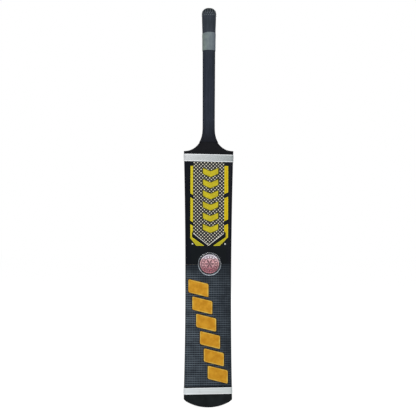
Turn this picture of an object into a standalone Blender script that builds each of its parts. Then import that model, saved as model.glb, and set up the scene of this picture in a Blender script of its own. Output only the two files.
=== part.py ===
# A full-size tape ball cricket bat, piece by piece.
# Metres. Z runs up from the toe, X runs across the blade and the striking face looks along -Y.
# Profiles are written with the handle's axis at y = 0. The parent empty then centres the bat front to back.

import math

import bpy
from mathutils import Vector

OBJECT_NAME = "tape_ball_bat"
GAP = 0.0003  # glue line or seat between any two pieces

# Willow blade, bare wood
SHOULDER_HEIGHT = 0.5639  # toe to the shoulder corners
SHOULDER_WIDTH = 0.1076
WAIST_HEIGHT = 0.2500
WAIST_WIDTH = 0.0996
TOE_WIDTH = 0.1052
TOE_RISE = 0.0158  # how far the toe's corners lie above its lowest point
TOE_CHAMFER = 0.0015
TOE_FADE = 0.0050  # height in which the toe's curve runs out into level sections
FACE_OFFSET = 0.0175  # handle axis to the striking face
EDGE_RADIUS = 0.0050
TOE_EDGE = 0.0195  # thickness at the blade's edges, at the toe, swell and shoulders
SWELL_EDGE = 0.0280
TOP_EDGE = 0.0235
TOE_SPINE = 0.0225  # thickness at the ridge, at the same places
SWELL_SPINE = 0.0470
TOP_SPINE = 0.0365
SWELL_HEIGHT = 0.1900
TOE_STEPS = 6  # sections from the toe to the swell
BLADE_STEPS = 12  # and from the swell to the shoulders

# Flare from the shoulder corners to the neck, and the splice
FLARE_HEIGHT = 0.0481
FLARE_POWER = 2.08  # 2 is a quarter ellipse, more hugs the corner between shoulder and neck
FLARE_ANGLES = (0, 10, 20, 30, 40, 50, 60, 70)  # degrees round the flare's curve
NECK_WIDTH = 0.0242
NECK_DEPTH = 0.0292
NECK_ROUNDING = 0.80  # share of the half width and half depth that a neck corner rounds off
HORN_DROP = 0.0080  # the willow ends this far below the neck
SPLICE_DEPTH = 0.1400  # shoulder corners to the splice's tip
SPLICE_TIP_WIDTH = 0.0034
SPLICE_SHOULDER = 0.0004  # how much wider than the turned handle the splice is at its top, each side

# Cane handle
HANDLE_LENGTH = 0.3151  # shoulder corners to the end of the cane
HANDLE_NECK_WIDTH = 0.0216
HANDLE_WAIST_RISE = 0.0850  # shoulder corners to the handle's narrowest place
HANDLE_WAIST_WIDTH = 0.0214
HANDLE_END_WIDTH = 0.0230
HANDLE_EXTRA_DEPTH = 0.0058  # deeper front to back than it is wide
HANDLE_STEP = 0.0006  # height of the step from the spliced part to the turned part
HANDLE_ROUND = 0.0130  # height over which the cane's end rounds off
HANDLE_END_SHARES = (0.40, 0.70, 0.87)  # how far round the end its sections lie, the last one the sawn end
HANDLE_STEPS = 4
CANE_WIDTH = 0.0068
SLAB_THICKNESS = 0.0078
RUBBER_THICKNESS = 0.0012

# Binding and grip
BINDING_WALL = 0.0008
GRIP_WALL = 0.0015
GRIP_LAP = 0.0200  # how far the grip reaches down over the willow
GRIP_ROLL = 0.0013  # extra thickness of the grip's top end
GRIP_ROLL_LENGTH = 0.0620
GRIP_ROLL_STEPS = 4
GRIP_END_WALL = 0.0019
GRIP_END_SEAT = 0.0011  # clear of the cane's end
GRIP_HOLE = 0.0120
DOME_POWER = 2.7  # 2 is an ellipse, more is fuller
DOME_STEPS = 7
GRIP_BAND_TOP_DROP = 0.0570  # top of the grip down to the grey band
GRIP_BAND_HEIGHT = 0.0372
GRIP_BAND_WALL = 0.0003

# Coverings of the blade
SHEET_WALL = 0.0006
SHEET_FLAP = 0.0120  # how far a face sheet folds onto the back
SHEET_JOIN_HEIGHT = 0.3155  # where the upper and the lower sheet meet
SHEET_JOIN_TILT = math.radians(0.9)
SHOULDER_WRAP_WALL = 0.0006
TOE_COVER_WALL = 0.0006
TAPE_WALL = 0.0004
TOP_TAPE_DROP = 0.0063  # shoulder corners down to the top tape band
TOP_TAPE_HEIGHT = 0.0160
TOP_TAPE_TILT = math.radians(-1.2)
TOE_TAPE_HEIGHT = 0.0141
TOE_TAPE_FOOT = 0.0297  # lowest point of the toe up to the toe tape band
TOE_TAPE_TILT = math.radians(1.25)

# Decals on the striking face. A drop is down from the foot of the top tape band, a rise is up from the
# panel's tip.
DECAL_WALL = 0.0003
LEFT_MARGIN = 0.0141  # shoulder corner in to the outer edge of the bars
RIGHT_MARGIN = 0.0106
LEFT_BAR_WIDTH = 0.0056
RIGHT_BAR_WIDTH = 0.0083
BAR_SEAT = 0.0006  # between the bars and the panel
BAR_TOP_DROP = 0.0097
LEFT_BAR_BREAKS = ((0.1151, 0.1066), (0.0550, 0.0473))  # rises where each break down a row starts and ends
RIGHT_BAR_BREAKS = ((0.1177, 0.1079), (0.0581, 0.0481))
BAR_BREAK_SLANT = 0.0035  # how much lower a break lies at the bars' inner edge
LEFT_FOOT_NECK = 0.0036  # width of the lowest bar where the panel's border cuts into it
RIGHT_FOOT_NECK = 0.0049
FOOT_CUT_RISE = 0.0320  # where that cut starts, where it is full, and where it ends
FOOT_NECK_RISE = 0.0283
FOOT_INNER_KNEE_RISE = 0.0189
LEFT_FOOT_KNEE_RISE = 0.0164  # the same at the feet's outer edges
RIGHT_FOOT_KNEE_RISE = 0.0188
LEFT_FOOT_REACH = 0.0307  # how far a foot runs in under the panel, from the bar's outer edge
RIGHT_FOOT_REACH = 0.0325
LEFT_FOOT_LENGTH = 0.0174  # length of a foot's level end
RIGHT_FOOT_LENGTH = 0.0142
PANEL_TOP_DROP = 0.0014
PANEL_SIDE_RISE = 0.0268  # where the straight sides end
PANEL_TIP_SHIFT = -0.0002  # the tip from the panel's middle
PANEL_TIP_SEAT = 0.0144  # between the tip and the badge
DOT_SIZE = 0.0026
DOT_RISE = 0.0040
LEFT_DOT_REACH = 0.0048  # the dots from the outer edges of the bars
RIGHT_DOT_REACH = 0.0063
CHEVRON_COUNT = 6
CHEVRON_SHIFT = 0.0042  # from the panel's middle
CHEVRON_WIDTH = 0.0360
CHEVRON_ARM = 0.0150
CHEVRON_POINT = 0.0080
CHEVRON_TOP_DROP = 0.0125

# Slanted bars across the lower sheet
SLANT_WIDTH = 0.0460
SLANT_HEIGHT = 0.0310
SLANT_LEAN = 0.0110  # how much lower a bar's right end lies than its left end
SLANT_PITCH = 0.0385
SLANT_SWING = 0.0215  # how far the first and the last bar's centres lie to the left and to the right
SLANT_TOP_DROP = 0.0525  # the sheets' join down to the first bar's centre
SLANT_FOOT_RISE = 0.0290  # the toe tape up to the last bar's centre

# Domed badge over the join of the sheets
BADGE_X = 0.0028
BADGE_RISE = 0.0009  # the badge's centre above the sheets' join
BADGE_DIAMETER = 0.0510
BADGE_WALL = 0.0005
PRINT_DIAMETER = 0.0414
PRINT_WALL = 0.0003
DOME_HEIGHT = 0.0020
DOME_EDGE = 0.0006
DOME_RINGS = 6
ROUND_STEPS = 48

CORNER_STEPS = 5
INNER_COLUMNS = 5  # columns each side of the middle, between the flap lines
CUT_MARGIN = 0.0100  # how far cutters reach past the wood
MERGE = 0.00001
SHARP_ANGLE = math.radians(40)

# Heights and offsets that follow from the sizes above
TOE_BASE = GAP + TOE_COVER_WALL
TOE_TOP = TOE_BASE + TOE_RISE + TOE_CHAMFER + TOE_FADE
NECK_HEIGHT = SHOULDER_HEIGHT + FLARE_HEIGHT
HORN_TOP = NECK_HEIGHT - HORN_DROP
HANDLE_TOP = SHOULDER_HEIGHT + HANDLE_LENGTH
HANDLE_SHOULDER = HANDLE_TOP - HANDLE_ROUND
COVER = GAP + max(SHEET_WALL, SHOULDER_WRAP_WALL, TOE_COVER_WALL)
TAPE_OUTER = COVER + GAP + TAPE_WALL
BINDING_OUTER = GAP + BINDING_WALL
GRIP_INNER = BINDING_OUTER + GAP
GRIP_OUTER = GRIP_INNER + GRIP_WALL
GRIP_LOWER_END = HORN_TOP - GRIP_LAP
GRIP_TOP = HANDLE_TOP + GRIP_END_SEAT + GRIP_END_WALL
TOP_TAPE_TOP = SHOULDER_HEIGHT - TOP_TAPE_DROP
TOP_TAPE_FOOT = TOP_TAPE_TOP - TOP_TAPE_HEIGHT
TOE_TAPE_TOP = TOE_TAPE_FOOT + TOE_TAPE_HEIGHT
DECAL_INNER = GAP + SHEET_WALL + GAP
LEFT_BARS_OUTER = LEFT_MARGIN - SHOULDER_WIDTH / 2
RIGHT_BARS_OUTER = SHOULDER_WIDTH / 2 - RIGHT_MARGIN
PANEL_LEFT = LEFT_BARS_OUTER + LEFT_BAR_WIDTH + BAR_SEAT
PANEL_RIGHT = RIGHT_BARS_OUTER - RIGHT_BAR_WIDTH - BAR_SEAT
PANEL_MIDDLE = (PANEL_LEFT + PANEL_RIGHT) / 2
PANEL_TIP = SHEET_JOIN_HEIGHT + BADGE_RISE + BADGE_DIAMETER / 2 + PANEL_TIP_SEAT
BADGE_CENTRE = Vector((BADGE_X, 0, SHEET_JOIN_HEIGHT + BADGE_RISE))
BADGE_FRONT = DECAL_INNER + BADGE_WALL + GAP + PRINT_WALL + GAP + DOME_HEIGHT
AXIS_Y = (BADGE_FRONT + FACE_OFFSET - (SWELL_SPINE - FACE_OFFSET)) / 2  # centres the bat on y = 0


def clear_scene():
    for obj in list(bpy.data.objects):
        bpy.data.objects.remove(obj, do_unlink=True)


def material(name, colour, roughness, metallic=0.0, alpha=1.0):
    made = bpy.data.materials.new(name)
    made.use_nodes = True
    shader = made.node_tree.nodes["Principled BSDF"]
    shader.inputs["Base Color"].default_value = (*colour, 1.0)
    shader.inputs["Roughness"].default_value = roughness
    shader.inputs["Metallic"].default_value = metallic
    shader.inputs["Alpha"].default_value = alpha
    return made


def collection(name):
    made = bpy.data.collections.new(name)
    bpy.context.scene.collection.children.link(made)
    return made


def eased(place, stations):
    """The value at a place, easing from each (place, value) station to the next."""
    if place <= stations[0][0]:
        return stations[0][1]
    for (low, a), (high, b) in zip(stations, stations[1:]):
        if place <= high:
            share = (place - low) / (high - low)
            return a + (b - a) * share * share * (3 - 2 * share)
    return stations[-1][1]


def blade_half_width(z):
    """Half the wood's width below the shoulder corners: a gentle waist."""
    if z >= WAIST_HEIGHT:
        share = (z - WAIST_HEIGHT) / (SHOULDER_HEIGHT - WAIST_HEIGHT)
        end = SHOULDER_WIDTH
    else:
        share = (WAIST_HEIGHT - z) / (WAIST_HEIGHT - TOE_TOP)
        end = TOE_WIDTH
    return (WAIST_WIDTH + (end - WAIST_WIDTH) * share**2) / 2


def handle_half_width(z):
    """Half the turned cane's width."""
    waist = SHOULDER_HEIGHT + HANDLE_WAIST_RISE
    if z < waist:
        return eased(z, ((HORN_TOP, HANDLE_NECK_WIDTH / 2), (waist, HANDLE_WAIST_WIDTH / 2)))
    share = (z - waist) / (HANDLE_SHOULDER - waist)
    return (HANDLE_WAIST_WIDTH + (HANDLE_END_WIDTH - HANDLE_WAIST_WIDTH) * share) / 2


def blade_station(z, half_width, normal):
    """The wood's section in the blade and its flare."""
    back = -FACE_OFFSET
    neck = NECK_DEPTH / 2
    edge = eased(z, (
        (TOE_TOP, back + TOE_EDGE), (SWELL_HEIGHT, back + SWELL_EDGE),
        (SHOULDER_HEIGHT, back + TOP_EDGE), (NECK_HEIGHT, neck),
    ))
    spine = eased(z, (
        (TOE_TOP, back + TOE_SPINE), (SWELL_HEIGHT, back + SWELL_SPINE),
        (SHOULDER_HEIGHT, back + TOP_SPINE), (NECK_HEIGHT, neck),
    ))
    return {
        "z": z, "half_width": half_width, "normal": normal,
        "front": eased(z, ((SHOULDER_HEIGHT, -FACE_OFFSET), (NECK_HEIGHT, -neck))),
        "edge": edge, "ridge": spine - edge,
        "corner_x": eased(z, ((SHOULDER_HEIGHT, EDGE_RADIUS), (NECK_HEIGHT, NECK_ROUNDING * NECK_WIDTH / 2))),
        "corner_y": eased(z, ((SHOULDER_HEIGHT, EDGE_RADIUS), (NECK_HEIGHT, NECK_ROUNDING * neck))),
    }


def handle_station(z, share=1.0, grow=0.0):
    """The turned oval section, at a share of its full size towards the rounded end."""
    half_width = (handle_half_width(min(z, HANDLE_SHOULDER)) + grow) * share
    half_depth = (handle_half_width(min(z, HANDLE_SHOULDER)) + HANDLE_EXTRA_DEPTH / 2 + grow) * share
    return {
        "z": z, "half_width": half_width, "normal": (1.0, 0.0),
        "front": -half_depth, "edge": half_depth, "ridge": 0.0,
        "corner_x": NECK_ROUNDING * half_width, "corner_y": NECK_ROUNDING * half_depth,
    }


def flare_station(angle):
    """A section on the flare's curve from the shoulder corner, at 0, to the neck, at a right angle."""
    reach = (SHOULDER_WIDTH - NECK_WIDTH) / 2
    across = math.sin(angle) ** (2 / FLARE_POWER)
    down = math.cos(angle) ** (2 / FLARE_POWER)
    half_width = SHOULDER_WIDTH / 2 - reach * across
    z = NECK_HEIGHT - FLARE_HEIGHT * down
    slope = FLARE_POWER - 1
    normal = Vector((across**slope / reach, down**slope / FLARE_HEIGHT)).normalized()
    if angle == 0:
        normal = Vector((1.0, 1.0))  # the mitre at the corner
    return blade_station(z, half_width, tuple(normal))


def dome_share(share):
    """How wide a rounded end still is, from 1 at its base, at 0, to nothing at 1."""
    return (1 - share**DOME_POWER) ** (1 / DOME_POWER)


def wood_stations():
    """Sections of the whole bat in bare wood, from the toe's level part to the handle's end."""
    levels = [TOE_TOP + (SWELL_HEIGHT - TOE_TOP) * i / TOE_STEPS for i in range(TOE_STEPS)]
    levels += [SWELL_HEIGHT + (SHOULDER_HEIGHT - SWELL_HEIGHT) * i / BLADE_STEPS for i in range(BLADE_STEPS)]
    stations = [blade_station(z, blade_half_width(z), (1.0, 0.0)) for z in levels]
    stations += [flare_station(math.radians(angle)) for angle in FLARE_ANGLES]
    stations.append(flare_station(math.acos((HORN_DROP / FLARE_HEIGHT) ** (FLARE_POWER / 2))))
    stations.append(handle_station(HORN_TOP + HANDLE_STEP))
    waist = SHOULDER_HEIGHT + HANDLE_WAIST_RISE
    stations.append(handle_station((HORN_TOP + waist) / 2))
    for i in range(HANDLE_STEPS + 1):
        stations.append(handle_station(waist + (HANDLE_SHOULDER - waist) * i / HANDLE_STEPS))
    for share in HANDLE_END_SHARES:
        z = HANDLE_SHOULDER + HANDLE_ROUND * share / HANDLE_END_SHARES[-1]
        stations.append(handle_station(z, dome_share(share)))
    return stations


def station_at(z, stations):
    """The section at a height, straight between the two nearest, so that layers share one surface."""
    for low, high in zip(stations, stations[1:]):
        if low["z"] <= z <= high["z"]:
            share = (z - low["z"]) / (high["z"] - low["z"])
            mixed = {key: low[key] + (high[key] - low[key]) * share for key in low if key != "normal"}
            mixed["normal"] = tuple(a + (b - a) * share for a, b in zip(low["normal"], high["normal"]))
            if z < SHOULDER_HEIGHT - GAP:
                mixed["normal"] = (1.0, 0.0)  # the mitre is the shoulder corner's alone
            return mixed
    raise ValueError("the height lies off the bat")


def columns(station, grow):
    """(x, inset) from the left edge to the right one. The inset is how far a rounded corner draws in."""
    flat = station["half_width"] - station["corner_x"]
    flap = flat * (WAIST_WIDTH / 2 - SHEET_FLAP) / (WAIST_WIDTH / 2 - EDGE_RADIUS)
    half = []
    for i in range(CORNER_STEPS + 1):
        angle = math.pi / 2 * i / CORNER_STEPS
        x = flat + (station["corner_x"] + grow) * math.cos(angle)
        half.append((x, (station["corner_y"] + grow) * (1 - math.sin(angle))))
    half += [(flap * (1 - i / INNER_COLUMNS), 0.0) for i in range(INNER_COLUMNS)]
    return [(-x, inset) for x, inset in half] + [(0.0, 0.0)] + half[::-1]


def toe_curve(x, grow):
    """Height of the toe's round underside, this far from the middle."""
    half = TOE_WIDTH / 2
    radius = (half**2 + TOE_RISE**2) / (2 * TOE_RISE)
    return TOE_BASE + radius - math.sqrt((radius + grow) ** 2 - x**2)


def ring(station, grow=0.0, tilt=0.0, toe=None):
    """The closed outline of a section grown by a layer: the front from left to right, then the back."""
    half_width = station["half_width"]
    out, up = (part * grow for part in station["normal"])
    front, back = [], []
    for x, inset in columns(station, out):
        share = min(abs(x) / half_width, 1.0)
        rise = station["ridge"] * (1 + math.cos(math.pi * share)) / 2
        slope = station["ridge"] * math.pi / (2 * half_width) * math.sin(math.pi * share)
        z = station["z"] + up + x * math.tan(tilt)
        if toe is not None:
            z = toe_curve(x, grow) + toe
        front.append(Vector((x, station["front"] - grow + inset, z)))
        back.append(Vector((x, station["edge"] + rise + grow * math.hypot(1, slope) - inset, z)))
    return front + back[::-1]


def toe_rings(stations, grow):
    """The two rings that follow the toe's curve: its chamfered underside and the chamfer's upper edge."""
    lowest = dict(stations[0])
    for key in ("half_width", "edge"):
        lowest[key] -= TOE_CHAMFER
    lowest["front"] += TOE_CHAMFER
    return [ring(lowest, grow, toe=0.0), ring(stations[0], grow, toe=TOE_CHAMFER)]


def between(low, high, stations, low_tilt=0.0, high_tilt=0.0):
    """The sections from one height to another, with both ends, and none that a tilted end would cross."""
    low_reach, high_reach = (GAP + SHOULDER_WIDTH / 2 * abs(math.tan(tilt)) for tilt in (low_tilt, high_tilt))
    inside = [s for s in stations if low + low_reach < s["z"] < high - high_reach]
    return [station_at(low, stations)] + inside + [station_at(high, stations)]


def lofted(name, rings, capped=False, looped=False, closed=True):
    """A surface through rings of equal counts, with end caps or joined end to end."""
    count = len(rings[0])
    points = [tuple(point) for outline in rings for point in outline]
    faces = []
    pairs = list(range(len(rings) - 1)) + ([-1] if looped else [])
    for i in pairs:
        low = (i % len(rings)) * count
        high = ((i + 1) % len(rings)) * count
        for j in range(count if closed else count - 1):
            k = (j + 1) % count
            faces.append((low + j, low + k, high + k, high + j))
    if capped:
        last = (len(rings) - 1) * count
        for j in range(count // 2 - 1):
            across = (j, count - 1 - j, count - 2 - j, j + 1)
            faces.append(across)
            faces.append(tuple(last + k for k in reversed(across)))
    mesh = bpy.data.meshes.new(name)
    mesh.from_pydata(points, [], faces)
    return mesh


def piece(name, data, parent, look, group):
    """A named object on the bat's parent empty."""
    made = bpy.data.objects.new(name, data)
    group.objects.link(made)
    made.parent = parent
    if look:
        data.materials.clear()
        data.materials.append(look)
    if made.type == "MESH":
        data.shade_smooth()
        data.set_sharp_from_angle(angle=SHARP_ANGLE)
    return made


def walled(obj, thickness):
    """Gives an open surface a wall that grows inwards."""
    wall = obj.modifiers.new("wall", "SOLIDIFY")
    wall.thickness = thickness
    wall.offset = -1
    wall.use_even_offset = True
    wall.use_quality_normals = True
    return obj


def cut(obj, other, operation):
    step = obj.modifiers.new(other.name, "BOOLEAN")
    step.operation = operation
    step.object = other
    step.solver = "EXACT"


def hidden(obj):
    obj.hide_render = True
    obj.display_type = "WIRE"
    return obj


def outline_curve(name, points, thickness):
    """A flat outline in X and Z, given its thickness front to back."""
    curve = bpy.data.curves.new(name, "CURVE")
    curve.dimensions = "2D"
    curve.fill_mode = "BOTH"
    curve.extrude = thickness / 2
    line = curve.splines.new("POLY")
    line.points.add(len(points) - 1)
    for point, (x, z) in zip(line.points, points):
        point.co = (x, z, 0, 1)
    line.use_cyclic_u = True
    return curve


def decal(name, points, look, parent, group, layer=DECAL_INNER):
    """A flat decal whose underside lies this far above the bare face."""
    made = piece(name, outline_curve(name, points, DECAL_WALL), parent, look, group)
    made.rotation_euler.x = math.pi / 2
    made.location.y = -(FACE_OFFSET + layer + DECAL_WALL / 2)
    return made


def block(name, low, high, parent, group):
    """A box between two corners, made from the cube primitive."""
    bpy.ops.mesh.primitive_cube_add(size=1)
    made = bpy.context.object
    made.name = name
    size = Vector(high) - Vector(low)
    middle = (Vector(high) + Vector(low)) / 2
    for vertex in made.data.vertices:
        vertex.co = Vector(a * b for a, b in zip(vertex.co, size)) + middle
    for old in made.users_collection:
        old.objects.unlink(made)
    group.objects.link(made)
    made.parent = parent
    return made


def splice_solid(name, grow, parent, group):
    """The space of the handle: a V in the blade that opens above the willow to take in all of the cane."""
    tip = SPLICE_TIP_WIDTH / 2 + grow
    top = HANDLE_NECK_WIDTH / 2 + SPLICE_SHOULDER + grow
    foot = SHOULDER_HEIGHT - SPLICE_DEPTH - grow
    ledge = HORN_TOP - grow
    wide = SHOULDER_WIDTH / 2
    high = HANDLE_TOP + CUT_MARGIN
    half = [(tip, foot), (top, ledge), (wide, ledge), (wide, high)]
    points = half + [(-x, z) for x, z in reversed(half)]
    depth = 2 * (SWELL_SPINE + CUT_MARGIN)
    guide = piece(name + "_guide", outline_curve(name, points, depth), parent, None, group)
    guide.rotation_euler.x = math.pi / 2
    bpy.context.view_layer.update()
    shaped = bpy.data.meshes.new_from_object(guide.evaluated_get(bpy.context.evaluated_depsgraph_get()))
    shaped.transform(guide.matrix_local)
    bpy.data.objects.remove(guide, do_unlink=True)
    made = hidden(piece(name, shaped, parent, None, group))
    weld = made.modifiers.new("weld", "WELD")
    weld.merge_threshold = MERGE
    return made


def make_blade(wood, parent, looks, parts, helpers):
    made = piece("blade", wood.data.copy(), parent, looks["willow"], parts)
    cut(made, splice_solid("splice_socket", GAP, parent, helpers), "DIFFERENCE")


def make_handle(wood, parent, looks, parts, helpers):
    """Nine canes in three slabs, with a rubber strip between slabs, shaped by the wood's form."""
    splice = splice_solid("splice_wedge", 0.0, parent, helpers)
    side = SHOULDER_WIDTH / 2 + CUT_MARGIN
    deep = SWELL_SPINE + CUT_MARGIN
    foot, top = 0.0, HANDLE_TOP + CUT_MARGIN / 2
    middle = CANE_WIDTH / 2
    lanes = {"left": (-side, -middle - GAP), "centre": (-middle, middle), "right": (middle + GAP, side)}
    slab = SLAB_THICKNESS / 2
    strip = slab + GAP + RUBBER_THICKNESS
    slabs = {"front": (-deep, -strip - GAP), "middle": (-slab, slab), "back": (strip + GAP, deep)}
    for row, (near, far) in slabs.items():
        for lane, (left, right) in lanes.items():
            cane = block(f"cane_{row}_{lane}", (left, near, foot), (right, far, top), parent, parts)
            cane.data.materials.append(looks["cane"])
            cut(cane, wood, "INTERSECT")
            cut(cane, splice, "INTERSECT")
    for row, sign in (("front", -1), ("back", 1)):
        near, far = sorted((sign * (slab + GAP), sign * strip))
        rubber = block(f"rubber_strip_{row}", (-side, near, foot), (side, far, top), parent, parts)
        rubber.data.materials.append(looks["rubber"])
        cut(rubber, wood, "INTERSECT")
        cut(rubber, splice, "INTERSECT")


def make_binding(stations, parent, looks, parts):
    covered = between(HORN_TOP + HANDLE_STEP + GAP, HANDLE_SHOULDER, stations)
    rings = [ring(station, BINDING_OUTER) for station in covered]
    binding = piece("handle_binding", lofted("handle_binding", rings), parent, looks["twine"], parts)
    walled(binding, BINDING_WALL)


def grip_roll(z):
    """How much thicker the grip is towards its rolled top end."""
    return eased(z, ((HANDLE_SHOULDER - GRIP_ROLL_LENGTH, 0.0), (HANDLE_SHOULDER, GRIP_ROLL)))


def dome_rings(grow, top):
    """Rings that round an end over from the handle's shoulder, down to the hole in the grip."""
    base = handle_station(HANDLE_SHOULDER, 1.0, grow)
    last = GRIP_HOLE / 2 / base["half_width"]
    end = (1 - last**DOME_POWER) ** (1 / DOME_POWER)
    rings = []
    for i in range(1, DOME_STEPS + 1):
        share = end * math.sin(math.pi / 2 * i / DOME_STEPS)
        station = handle_station(HANDLE_SHOULDER, dome_share(share), grow)
        station["z"] = HANDLE_SHOULDER + (top - HANDLE_SHOULDER) * share / end
        rings.append(ring(station))
    return rings


def make_grip(stations, parent, looks, parts):
    """A rubber sleeve, stretched over the willow at its foot and rolled over the cane's end at its top."""
    outer, inner = [], []
    for station in between(GRIP_LOWER_END, HORN_TOP, stations):
        outer.append(ring(station, GAP + GRIP_WALL))
        inner.append(ring(station, GAP))
    roll_start = HANDLE_SHOULDER - GRIP_ROLL_LENGTH
    levels = [NECK_HEIGHT] + [s["z"] for s in stations if NECK_HEIGHT < s["z"] < roll_start]
    levels += [roll_start + GRIP_ROLL_LENGTH * i / GRIP_ROLL_STEPS for i in range(GRIP_ROLL_STEPS)]
    for z in levels:
        outer.append(ring(station_at(z, stations), GRIP_OUTER + grip_roll(z)))
        inner.append(ring(station_at(z, stations), GRIP_INNER))
    base = station_at(HANDLE_SHOULDER, stations)
    outer.append(ring(base, GRIP_OUTER + GRIP_ROLL))
    inner.append(ring(base, GRIP_INNER))
    outer += dome_rings(GRIP_OUTER + GRIP_ROLL, GRIP_TOP)
    inner += dome_rings(GRIP_INNER, GRIP_TOP - GRIP_END_WALL)
    piece("grip", lofted("grip", outer + inner[::-1], looped=True), parent, looks["grip"], parts)


def make_grip_band(stations, parent, looks, parts):
    top = GRIP_TOP - GRIP_BAND_TOP_DROP
    levels = between(top - GRIP_BAND_HEIGHT, top, stations)
    rings = [ring(s, GRIP_OUTER + grip_roll(s["z"]) + GAP + GRIP_BAND_WALL) for s in levels]
    walled(piece("grip_band", lofted("grip_band", rings), parent, looks["grey"], parts), GRIP_BAND_WALL)


def sheet_strip(outline):
    """The part of a section's outline that a face sheet covers: the front, both edges and a flap each."""
    last = len(outline) - 1
    half = (last + 1) // 2
    corner = CORNER_STEPS + 1
    back_left = [outline[last - i] for i in range(corner, -1, -1)]
    front = outline[:corner] + outline[half - corner:half]
    back_right = [outline[half + i] for i in range(corner + 1)]
    return back_left + front + back_right


def make_sheet(name, foot, foot_tilt, top, top_tilt, look, stations, parent, parts):
    levels = between(foot, top, stations, foot_tilt, top_tilt)
    tilts = [foot_tilt] + [0.0] * (len(levels) - 2) + [top_tilt]
    rings = [sheet_strip(ring(s, GAP + SHEET_WALL, tilt)) for s, tilt in zip(levels, tilts)]
    walled(piece(name, lofted(name, rings, closed=False), parent, look, parts), SHEET_WALL)


def make_coverings(stations, parent, looks, parts):
    toe_seam = (TOE_TAPE_FOOT + TOE_TAPE_TOP) / 2
    top_seam = (TOP_TAPE_FOOT + TOP_TAPE_TOP) / 2
    make_sheet("lower_sheet", toe_seam + GAP / 2, 0.0, SHEET_JOIN_HEIGHT - GAP / 2, SHEET_JOIN_TILT,
               looks["mesh"], stations, parent, parts)
    make_sheet("upper_sheet", SHEET_JOIN_HEIGHT + GAP / 2, SHEET_JOIN_TILT, top_seam - GAP / 2, 0.0,
               looks["film"], stations, parent, parts)
    wrapped = between(top_seam + GAP / 2, GRIP_LOWER_END - GAP, stations)
    rings = [ring(s, GAP + SHOULDER_WRAP_WALL) for s in wrapped]
    wrap = piece("shoulder_wrap", lofted("shoulder_wrap", rings), parent, looks["wrap"], parts)
    walled(wrap, SHOULDER_WRAP_WALL)
    outer = toe_rings(stations, GAP + TOE_COVER_WALL)
    inner = toe_rings(stations, GAP)
    for station in between(TOE_TOP, toe_seam - GAP / 2, stations):
        outer.append(ring(station, GAP + TOE_COVER_WALL))
        inner.append(ring(station, GAP))
    piece("toe_cover", lofted("toe_cover", outer + inner[::-1], capped=True), parent, looks["toe"], parts)


def make_tape(name, foot, height, tilt, stations, parent, looks, parts):
    rings = [ring(s, TAPE_OUTER, tilt) for s in between(foot, foot + height, stations, tilt, tilt)]
    walled(piece(name, lofted(name, rings), parent, looks["tape"], parts), TAPE_WALL)


def make_panel(parent, looks, parts):
    """The pointed panel, its top edge parallel to the tape band."""
    top = TOP_TAPE_FOOT - PANEL_TOP_DROP
    lean = math.tan(TOP_TAPE_TILT)
    side = PANEL_TIP + PANEL_SIDE_RISE
    outline = (
        (PANEL_LEFT, top + PANEL_LEFT * lean), (PANEL_LEFT, side),
        (PANEL_MIDDLE + PANEL_TIP_SHIFT, PANEL_TIP),
        (PANEL_RIGHT, side), (PANEL_RIGHT, top + PANEL_RIGHT * lean),
    )
    decal("checked_panel", outline, looks["checks"], parent, parts)


def make_bars(side, outer, width, breaks, foot_neck, reach, length, knee, parent, looks, parts):
    """Three bars down one side of the panel. The lowest one turns in under the panel's foot."""
    sign = -1 if side == "left" else 1
    inner = outer - sign * width
    neck = outer - sign * foot_neck
    toe = outer - sign * reach
    top, slant = TOP_TAPE_FOOT - BAR_TOP_DROP, 0.0
    shapes = []
    for start, end in breaks:
        foot = PANEL_TIP + start
        shapes.append([(outer, top), (inner, top - slant), (inner, foot - BAR_BREAK_SLANT), (outer, foot)])
        top, slant = PANEL_TIP + end, BAR_BREAK_SLANT
    shapes.append([
        (outer, top), (inner, top - slant),
        (inner, PANEL_TIP + FOOT_CUT_RISE), (neck, PANEL_TIP + FOOT_NECK_RISE),
        (neck, PANEL_TIP + FOOT_INNER_KNEE_RISE), (toe, PANEL_TIP),
        (toe + sign * length, PANEL_TIP), (outer, PANEL_TIP + knee),
    ])
    for number, shape in enumerate(shapes, 1):
        decal(f"{side}_bar_{number}", shape, looks["yellow"], parent, parts)


def make_chevrons(parent, looks, parts):
    """A column of plain chevrons down the straight part of the panel, pointing down as its foot does."""
    middle = PANEL_MIDDLE + CHEVRON_SHIFT
    left, right = middle - CHEVRON_WIDTH / 2, middle + CHEVRON_WIDTH / 2
    highest = TOP_TAPE_FOOT - CHEVRON_TOP_DROP
    lowest = PANEL_TIP + PANEL_SIDE_RISE + CHEVRON_POINT + CHEVRON_ARM
    for number in range(CHEVRON_COUNT):
        top = highest + (lowest - highest) * number / (CHEVRON_COUNT - 1)
        foot = top - CHEVRON_ARM
        outline = (
            (left, top), (middle, top - CHEVRON_POINT), (right, top),
            (right, foot), (middle, foot - CHEVRON_POINT), (left, foot),
        )
        decal(f"panel_chevron_{number + 1}", outline, looks["yellow"], parent, parts,
              DECAL_INNER + DECAL_WALL + GAP)


def make_dots(parent, looks, parts):
    half = DOT_SIZE / 2
    z = PANEL_TIP + DOT_RISE
    left, right = LEFT_BARS_OUTER + LEFT_DOT_REACH, RIGHT_BARS_OUTER - RIGHT_DOT_REACH
    for side, x in (("left", left), ("right", right)):
        square = ((x - half, z - half), (x + half, z - half), (x + half, z + half), (x - half, z + half))
        decal(f"{side}_dot", square, looks["white"], parent, parts)


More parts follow.
